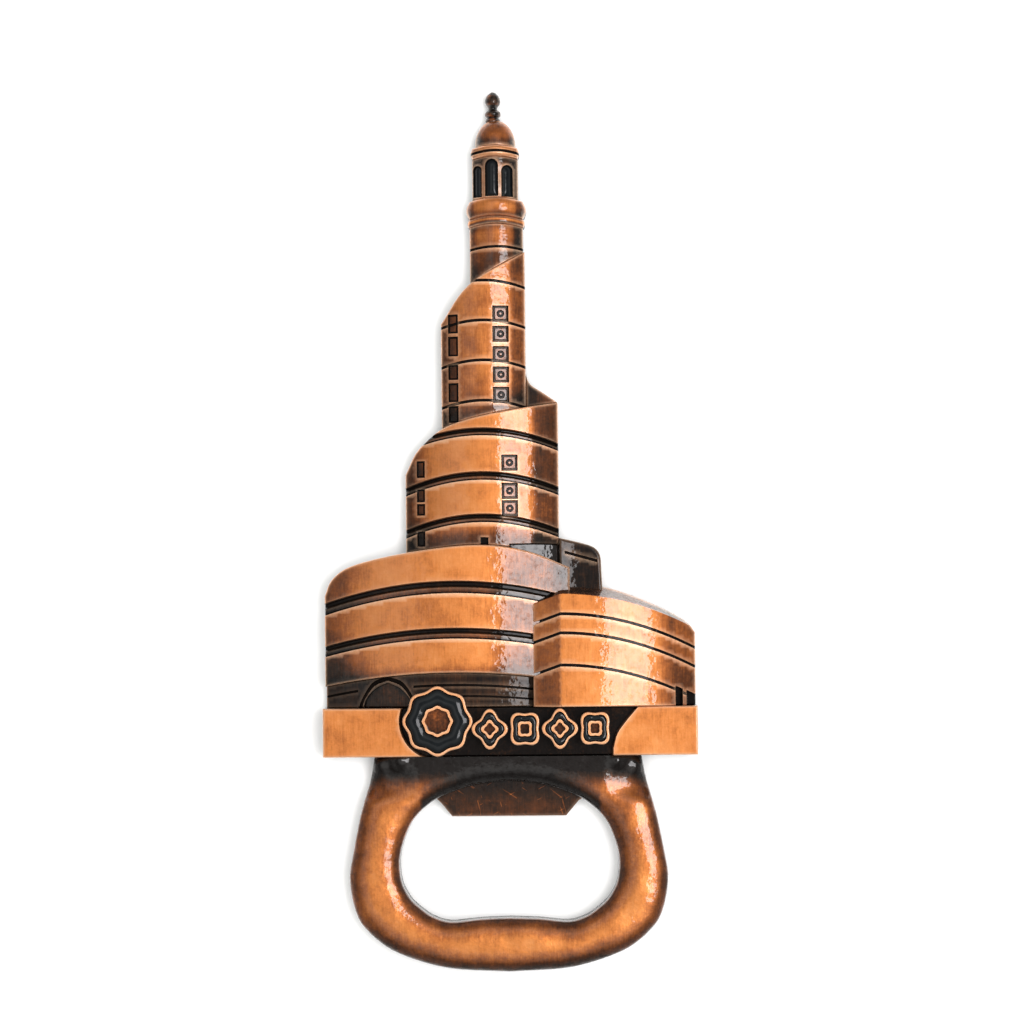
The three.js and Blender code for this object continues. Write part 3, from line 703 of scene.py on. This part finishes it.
def make_wing():
    left, corner, right = WING_HEIGHT["left"], WING_HEIGHT["corner"], WING_HEIGHT["right"]

    def section(x):
        facet = left + (corner - left) * (x - WING_LEFT) / (WING_CORNER - WING_LEFT)
        t = np.clip((x - WING_CORNER) / (WING_RIGHT - WING_CORNER), 0, 1)
        return np.where(x < WING_CORNER, facet, corner - (corner - right) * t ** 2.5)

    def top(x, y):
        over = np.clip(y - wing_y(x, WING_TOP), 0, None)
        return np.maximum(section(x) - over * ROOF_SLOPE, 0.6)

    back = smooth([(WING_CORNER, -7.7), (12.9, -8.0), (19.5, -10.4), (23.6, -12.6), (WING_RIGHT, -14.2)], 8)
    shape = [(WING_LEFT, WING_BOTTOM), (WING_RIGHT, WING_BOTTOM)] + back[::-1] + [(WING_LEFT, -9.6)]
    grooves = [Carve([wing_line(y + 0.17) + wing_line(y - 0.17)[::-1]], 0.5, 0.08, 0.95)
               for y in WING_GROOVES]
    foot = Carve([[(22.3, -21.4), (22.3, -24.6), (23.2, -24.6), (23.2, -21.8)],
                  [(23.8, -22.0), (23.8, -24.6), (25.6, -24.6), (25.6, -22.9)]], 0.9, 0.12, 0.95)

    def patina_and_shade(x, y):
        # Painted shade: the roof, the facet and the falling right end are darker where they turn from the
        # light, the facet more so toward the bottom.
        roof = 0.48 * ramp(y - wing_y(x, WING_TOP), 0.0, 0.12)
        facet = (0.14 + 0.12 * ramp(-y, 14, 23)) * (x < WING_CORNER)
        return roof + facet + 0.30 * ramp(x, 19.2, 22) + 0.12 * ramp(x, 20, 23) * ramp(-y, 15, 20)

    ridge = [wing_line(WING_TOP + over, WING_LEFT, WING_RIGHT) for over in (0.0, 0.13, 0.4)]
    lines = ridge + [[(WING_CORNER, -8.2), (WING_CORNER, WING_BOTTOM)]]
    relief("annex_wing", shape, top, copper, carves=grooves + [foot], lines=lines,
           edge=0.16, step=0.5, patina_and_shade=patina_and_shade)


# ---------- drums ----------
def flank_oxide_and_shade(mass, left, right):
    """Darker sides of a round mass: oxide left where the brushing wheel doesn't reach, with painted shade
    where the sides turn from the light; left and right set each side's strength.
    """
    def stain_and_shade(x):
        u = mass.u(x)
        return left * ramp(-u, 0.55, 1.0) + right * ramp(u, 0.60, 0.74)
    return stain_and_shade


def near_line(x, y, line, reach):
    return np.exp(-(distance(np.stack([x, y], 1), [line], closed=False) / reach) ** 2)


LOWER_END = 8.2
LOWER_EDGE = smooth([(-24.9, -8.9), (-23.8, -6.6), (-20.9, -4.8), (-13.8, -3.2), (-4.6, -2.2), (2.2, -3.0),
                     (LOWER_END, -5.3)], 8)
STOREY_TOP, STOREY_DROP = -19.3, 1.8
ARCH_X = -16.5
MIDDLE_EDGE = smooth([(MIDDLE.left, 7.4), (-12.2, 10.6), (-9.1, 13.3), (-4.9, 14.9), (1.0, 16.1),
                      (MIDDLE.right, 17.0)], 8)
UPPER_EDGE = smooth([(UPPER.left, 27.8), (-5.0, 33.0), (UPPER.right, 37.5)], 14)


def two_step(mass, top, bottom, drop):
    """A course groove: a deep upper part, a shallower lip below it and a thin dark line under that."""
    split = top - (top - bottom) * 0.42
    return [Carve([strip(mass, top, bottom, drop)], 0.5, 0.1, 0.55, rim=1.2),
            Carve([strip(mass, top, split, drop)], 0.9, 0.3, 0.95, rim=0.2),
            Carve([strip(mass, bottom + 0.14, bottom, drop)], 0.65, 0.06, 0.95, rim=0.0)]


def make_lower():
    foot = course_line(LOWER, STOREY_TOP, STOREY_DROP, LOWER.left, LOWER_END)
    shape = foot + LOWER_EDGE[::-1]
    carves = two_step(LOWER, -7.1, -8.6, 2.9) + two_step(LOWER, -13.4, -14.7, 2.4)
    stain_and_shade = flank_oxide_and_shade(LOWER, 0.43, 0.0)

    def patina_and_shade(x, y):
        # Besides the oxide, painted shade: the left side, most of all low down, and the right end beside the
        # wing are darker where they turn from the light; darker too along the foot.
        low_left = 0.30 * ramp(-LOWER.u(x), 0.2, 0.95) * ramp(-y, 13, 21)
        by_wing = 0.32 * ramp(x, -3.8, 0.6) + 0.20 * ramp(x, 5.0, 7.6)
        return stain_and_shade(x) + low_left + by_wing + 0.28 * near_line(x, y, foot, 0.9)

    relief("lower_drum", shape, LOWER.top, copper, carves=carves, edge=0.2, step=0.5,
           patina_and_shade=patina_and_shade)


def make_storey():
    roof = course_line(LOWER, STOREY_TOP - GAP, STOREY_DROP, LOWER.left, WING_LEFT - GAP)
    shape = [(LOWER.left, BAND_HIGH + GAP), (WING_LEFT - GAP, BAND_HIGH + GAP)] + roof[::-1]
    mass = Mass(LOWER.x, LOWER.half, 1.4, RECESS_FLOOR)

    def arch(half, top):
        side = smooth([(half, -24.6), (half * 0.86, -22.9), (half * 0.5, top - 0.75), (0.15, top)], 5)
        return [(ARCH_X + a, b) for a, b in side] + [(ARCH_X - a, b) for a, b in side[::-1]]

    carves = [Carve([arch(4.1, -19.9), arch(3.7, -20.35)], 0.35, 0.1, 0.9, rim=0.9),
              Carve([arch(3.4, -20.75)], 0.6, 0.12, 0.1, rim=0.6),
              Carve([strip(mass, -20.9, -21.15, STOREY_DROP, -13.0, 3.6)], 0.35, 0.08, 1.0, rim=0.6),
              Carve([strip(mass, -22.4, -22.6, STOREY_DROP * 0.8, -12.4, 3.6)], 0.3, 0.08, 1.0, rim=0.3),
              Carve([strip(mass, -20.6, -20.85, STOREY_DROP, -26, -20.6)], 0.3, 0.08, 1.0, rim=0.3)]

    def patina_and_shade(x, y):
        return -0.16 * inside(np.stack([x, y], 1), [arch(3.3, -20.8)])

    relief("ground_storey", shape, mass.top, oxide, carves=carves, edge=0.15, step=0.4,
           patina_and_shade=patina_and_shade)


def make_turret():
    shape = [(MIDDLE.right + GAP, -10.6), (12.9, -10.6), (12.6, -8.0), (12.5, -6.0)]
    crest = smooth([(12.5, -6.0), (12.35, -3.8), (11.6, -2.7), (10.1, -2.1), (MIDDLE.right + GAP, -1.3)], 6)

    def top(x, y):
        return 2.85 - 0.02 * (x - 8.5) + 0.45 * np.exp(-(x - MIDDLE.right) / 1.2)

    carves = [Carve([[(7.6, -3.1), (11.9, -4.3), (11.9, -4.6), (7.6, -3.4)]], 0.5, 0.1, 1.0)]
    relief("rear_turret", shape + crest[1:], top, oxide, carves=carves, edge=0.35, step=0.4)


WINDOW = 2.1


def square_window(x, top):
    """A dark frame around a raised square that carries a small ring."""
    a, b = WINDOW / 2, WINDOW / 2 - 0.3
    y = top - a
    frame_line, plate_line = box(x - a, x + a, y - a, y + a), box(x - b, x + b, y - b, y + b)
    return [Carve([frame_line, plate_line], 0.5, 0.1, 1.0),
            Carve([plate_line], 0.10, 0.06, 0.34, rim=0.3),
            Carve([circle(x, y, 0.48), circle(x, y, 0.19, 14)], 0.4, 0.08, 1.0, rim=0.2)]


def slot_window(x0, x1, top, bottom):
    """A sunk pane in a deeper dark frame."""
    pane = box(x0 + 0.2, x1 - 0.2, bottom + 0.2, top - 0.2)
    return [Carve([box(x0, x1, bottom, top), pane], 0.55, 0.08, 0.95, rim=1.0),
            Carve([pane], 0.4, 0.06, 0.22, rim=0.0)]


def above(line, x0, x1, grow=GAP):
    """The part of a line between x0 and x1, moved up by grow, with its ends cut exactly there."""
    xs, ys = [p[0] for p in line], [p[1] for p in line]
    mid = [(x, y + grow) for x, y in line if x0 < x < x1]
    return [(x0, float(np.interp(x0, xs, ys)) + grow)] + mid + [(x1, float(np.interp(x1, xs, ys)) + grow)]


def make_middle():
    foot = above(LOWER_EDGE, MIDDLE.left, MIDDLE.right)
    shape = foot + MIDDLE_EDGE[::-1]
    carves = []
    for top, bottom in ((13.5, 12.6), (7.6, 6.6), (1.9, 0.9)):
        carves += two_step(MIDDLE, top, bottom, MIDDLE_DROP)
    end = MIDDLE.right + 0.4
    terrace = [(0.2, -2.15), (3.4, -2.1), (end, -2.2), (end, -5.8), (2.6, -3.8), (0.2, -2.9)]
    carves.append(Carve([terrace], 0.0, 0.2, 0.36, rim=0.2,
                        floor=lambda x, y: 3.9 - 0.10 * x - 0.018 * x * x))
    carves.append(Carve([box(-3.7, -2.7, -2.4, -1.2)], 0.6, 0.1, 1.0))
    for top, bottom in ((9.2, 7.0), (5.4, 3.7), (3.4, 1.9), (-0.3, -2.3)):
        carves += slot_window(-12.3, -11.25, top, bottom)
    for top in (9.9, 6.1, 3.75):
        carves += square_window(0.25, top)
    stain_and_shade = flank_oxide_and_shade(MIDDLE, 0.48, 0.46)

    def patina_and_shade(x, y):
        return stain_and_shade(x) + 0.42 * near_line(x, y, foot, 2.2) + 0.12 * ramp(-y, -3, 2)

    relief("middle_drum", shape, MIDDLE.top, copper, carves=carves, edge=0.18, step=0.45,
           patina_and_shade=patina_and_shade)


def make_upper():
    foot = above(MIDDLE_EDGE, UPPER.left, UPPER.right)
    shape = foot + UPPER_EDGE[::-1]
    carves = [Carve([strip(UPPER, y, y - FINE_COURSE, UPPER_DROP)], 0.5, 0.08, 1.0)
              for y in (33.75, 28.35, 22.95, 17.5)]
    for top, bottom in ((29.0, 26.5), (26.0, 23.4), (22.2, 20.2), (19.7, 17.2), (16.6, 14.4)):
        carves += slot_window(-7.9, -6.6, top, bottom)
    for top in (30.1, 27.35, 24.6, 21.85, 19.1):
        carves += square_window(-0.8, top)
    stain_and_shade = flank_oxide_and_shade(UPPER, 0.28, 0.24)

    def patina_and_shade(x, y):
        low_right = 0.20 * ramp(x, -1, 2.5) * ramp(-y, -20.5, -17)
        return 0.14 + stain_and_shade(x) + 0.38 * near_line(x, y, foot, 2.0) + low_right

    relief("upper_drum", shape, UPPER.top, copper, carves=carves, edge=0.16, step=0.4,
           patina_and_shade=patina_and_shade)


PARAPET_TOP = 2.6


def make_parapet():
    left, right = UPPER.right + GAP, MIDDLE.right - 0.1
    crest = smooth([(left, 21.0), (3.1, 19.6), (4.8, 18.4), (right, 17.1)], 6)
    foot = above(MIDDLE_EDGE, left, right)

    def top(x, y):
        return np.full(len(x), PARAPET_TOP)

    def patina_and_shade(x, y):
        return 0.22 * (1 - ramp(x, 3.0, 5.5))

    relief("rear_parapet", foot + crest[::-1], top, brown, edge=0.3, step=0.35, patina_and_shade=patina_and_shade)


SHAFT_TOP = 41.3


def make_shaft():
    foot = above(UPPER_EDGE, SHAFT.left, SHAFT.right)
    head = course_line(STACK, SHAFT_TOP, STACK_DROP, SHAFT.left, SHAFT.right, 20)
    stain_and_shade = flank_oxide_and_shade(SHAFT, 0.38, 0.3)

    def patina_and_shade(x, y):
        return 0.06 + stain_and_shade(x) + 0.45 * near_line(x, y, foot, 2.6) + 0.35 * near_line(x, y, head, 0.7)

    relief("shaft", foot + head[::-1], SHAFT.top, copper, edge=0.14, step=0.4,
           patina_and_shade=patina_and_shade, carves=[Carve([strip(SHAFT, 38.35, 38.05, SHAFT_DROP)], 0.45, 0.08, 1.0)])


# ---------- gallery, lantern, cornice, dome, finial ----------
COLLAR_TOP, GALLERY_TOP, LANTERN_TOP, CORNICE_TOP = 42.4, 44.9, 50.5, 52.0
LANTERN_WINDOWS = {"left": (-4.35, -3.2, 45.0, 49.3), "centre": (-2.7, -0.95, 45.1, 50.15),
                   "right": (-0.5, 1.0, 45.0, 49.3)}


def course(node, mass, high, low, material, edge, carves=(), patina_and_shade=None, bulge=0.0):
    """One drum of the head, between two level lines, with sides that bulge out."""
    head = course_line(STACK, high, STACK_DROP, mass.left + bulge, mass.right - bulge, 24)
    foot = course_line(STACK, low, STACK_DROP, mass.left + bulge, mass.right - bulge, 24)
    outline = foot + head[::-1]
    if bulge:
        y0, y1 = foot[-1][1], head[-1][1]
        right, left = ([(x, y0), (side, (2 * y0 + y1) / 3), (side, (y0 + 2 * y1) / 3), (x, y1)]
                       for x, side in ((foot[-1][0], mass.right), (foot[0][0], mass.left)))
        outline = foot[:-1] + smooth(right, 4)[:-1] + head[::-1][:-1] + smooth(left[::-1], 4)[:-1]
    relief(node, outline, mass.top, material, edge=edge, step=0.35, carves=carves, patina_and_shade=patina_and_shade)


def make_head():
    gallery_stain_and_shade, lantern_stain_and_shade = flank_oxide_and_shade(GALLERY, 0.3, 0.3), flank_oxide_and_shade(LANTERN, 0.5, 0.4)

    def collar_patina_and_sheen(x, y):
        # A pale line near the collar's top is a painted reflection; the rest is a little darker.
        level = y + STACK_DROP * STACK.u(x) ** 2
        return 0.15 - 0.62 * np.exp(-((level - 41.95) / 0.2) ** 2)

    course("gallery_collar", COLLAR, COLLAR_TOP, SHAFT_TOP + GAP, brown, 0.35, bulge=0.15,
           patina_and_shade=collar_patina_and_sheen)
    course("gallery", GALLERY, GALLERY_TOP, COLLAR_TOP + GAP, copper, 0.75,
           patina_and_shade=lambda x, y: 0.1 + gallery_stain_and_shade(x) + 0.3 * ramp(-y, -43.6, -42.3), bulge=0.4)
    course("lantern", LANTERN, LANTERN_TOP, GALLERY_TOP + GAP, copper, 0.14,
           [Carve([arched(*w)], 0.8, 0.06, 1.0, rim=1.6) for w in LANTERN_WINDOWS.values()],
           patina_and_shade=lambda x, y: 0.42 + lantern_stain_and_shade(x) + 0.25 * ramp(y, 49.0, 50.6))
    for side, (x0, x1, bottom, top) in LANTERN_WINDOWS.items():
        shape = arched(x0 + GAP, x1 - GAP, bottom + GAP, top - GAP)

        def pool(x, y, s=shape):
            d = distance(np.stack([x, y], 1), [s])
            return LANTERN.top(x, y) - 0.42 + 0.3 * (1 - np.exp(-d / 0.3))

        relief(f"lantern_enamel_{side}", shape, pool, black, low=1.0, edge=0.06, step=0.22)
    # The cornice's sides are darker: oxide with painted shade where they turn from the light.
    course("cornice", CORNICE, CORNICE_TOP, LANTERN_TOP + GAP, copper, 0.4,
           [Carve([strip(STACK, 51.4, 51.1, STACK_DROP)], 0.4, 0.1, 1.0)],
           patina_and_shade=lambda x, y: 0.12 + 0.3 * ramp(np.abs(CORNICE.u(x)), 0.6, 1), bulge=0.2)


def make_dome():
    x0, y0, rx, ry, skirt, rise = -1.35, 52.2, 2.75, 3.5, 1.3, 2.3
    seat = course_line(STACK, CORNICE_TOP, STACK_DROP, STACK.left, STACK.right, 30)
    foot = above(seat, x0 - rx + 0.02, x0 + rx - 0.02)
    arc = [(x0 + rx * math.cos(a), y0 + ry * math.sin(a)) for a in np.linspace(0.03, math.pi - 0.03, 40)]

    def top(x, y):
        r2 = ((x - x0) / rx) ** 2 + ((y - y0) / ry) ** 2
        return skirt + rise * np.sqrt(np.clip(1 - r2, 0, 1))

    def patina_and_shade(x, y):
        # Painted shade: the dome is darker on its sides and at its foot, where it turns from the light, and a
        # little darker toward its top.
        ends = 0.12 * ramp(y, 53, 55.5) + 0.26 * ramp(-y, -53.6, -52.3)
        return 0.24 + 0.35 * ramp(np.abs(x - x0), 1.4, 2.7) + ends

    relief("dome", foot + arc, top, copper, edge=0.1, step=0.3, patina_and_shade=patina_and_shade)


FINIAL_X, FINIAL_Z = -1.65, 1.15


def make_finial():
    points = [(55.35, 0.95), (55.6, 1.02), (55.9, 0.85), (56.05, 0.78), (56.25, 1.02), (56.5, 1.1),
              (56.8, 1.0), (57.0, 0.72), (57.25, 0.58), (57.5, 0.66), (57.8, 0.9), (58.2, 1.04),
              (58.6, 1.0), (59.0, 0.82), (59.3, 0.55), (59.5, 0.3), (59.58, 0.1)]
    lathe("finial", smooth(points, 2), FINIAL_X, FINIAL_Z, brown)


for build in (make_ring, make_lifter, make_band, make_ornaments, make_wing, make_lower, make_storey,
              make_turret, make_middle, make_upper, make_parapet, make_shaft, make_head, make_dome,
              make_finial):
    build()


# ---------- floor, light and camera ----------
def make_floor():
    mesh = bpy.data.meshes.new("floor")
    half = 1.5
    mesh.from_pydata([(*corner, 0) for corner in box(-half, half, -half, half)], [], [(0, 1, 2, 3)])
    floor = bpy.data.objects.new("floor", mesh)
    bpy.context.scene.collection.objects.link(floor)
    floor.location.z = -0.1 * MM
    material = bpy.data.materials.new("floor_paper")
    material.use_nodes = True
    n = Nodes(material.node_tree)
    shader = n.tree.nodes["Principled BSDF"]
    place = n.new("ShaderNodeTexCoord").outputs["Object"]
    colour = n.ramp(n.noise(place, 30.0, 3.0), [(0.3, (0.86, 0.86, 0.85)), (0.7, (0.90, 0.90, 0.89))])
    n.tree.links.new(colour, shader.inputs["Base Color"])
    shader.inputs["Roughness"].default_value = 0.7
    shader.inputs["Specular IOR Level"].default_value = 0.2
    mesh.materials.append(material)


def area_light(name, place, target, size, power, colour=(1, 1, 1), glossy=True):
    data = bpy.data.lights.new(name, "AREA")
    data.shape, data.size, data.size_y = "RECTANGLE", size[0], size[1]
    data.energy, data.color = power, colour
    lamp = bpy.data.objects.new(name, data)
    bpy.context.scene.collection.objects.link(lamp)
    lamp.location = place
    lamp.rotation_euler = (Vector(target) - Vector(place)).to_track_quat("-Z", "Y").to_euler()
    lamp.visible_glossy = glossy


# The studio by height, from the horizon up: pale walls, a dim gap, a pale ceiling with a darker middle.
SKY_STOPS = [
    (0.0, (0.50, 0.49, 0.48)),
    (0.35, (0.38, 0.37, 0.36)),
    (0.66, (0.17, 0.165, 0.16)),
    (0.80, (0.38, 0.37, 0.36)),
    (0.92, (0.80, 0.79, 0.77)),
    (0.965, (0.80, 0.79, 0.77)),
    (0.985, (0.36, 0.355, 0.35)),
    (1.0, (0.30, 0.295, 0.29)),
]


def make_world():
    world = bpy.data.worlds.new("studio")
    world.use_nodes = True
    bpy.context.scene.world = world
    n = Nodes(world.node_tree)
    way = n.new("ShaderNodeTexCoord").outputs["Generated"]
    axes = n.new("ShaderNodeSeparateXYZ", {"Vector": way}).outputs
    sky = n.ramp(axes["Z"], SKY_STOPS)
    n.tree.links.new(sky, n.tree.nodes["Background"].inputs["Color"])
    n.tree.nodes["Background"].inputs["Strength"].default_value = 1.0


make_floor()
make_world()
area_light("softbox_right", (0.341, -0.005, 0.833), (0, 0, 0), (0.34, 0.34), 2.6, (1.0, 0.98, 1.0))
area_light("fill_right", (0.15, -0.05, 1.2), (0, 0, 0), (2.0, 2.0), 28, glossy=False)

CAMERA_AT = Vector((0.0093, -0.0104, 0.415))
CAMERA_AIM = Vector((0.00043, 0.00234, 0.0))
CAMERA_ROLL = math.radians(-0.59)
camera_data = bpy.data.cameras.new("camera")
camera_data.lens, camera_data.sensor_width = 107.25, 36.0
camera = bpy.data.objects.new("camera", camera_data)
bpy.context.scene.collection.objects.link(camera)
back = (CAMERA_AT - CAMERA_AIM).normalized()
side = Vector((math.cos(CAMERA_ROLL), math.sin(CAMERA_ROLL), 0))
up = back.cross(side).normalized()
side = up.cross(back).normalized()
camera.matrix_world = Matrix.Translation(CAMERA_AT) @ Matrix((side, up, back)).transposed().to_4x4()
bpy.context.scene.camera = camera
bpy.context.scene.view_settings.view_transform = "Standard"
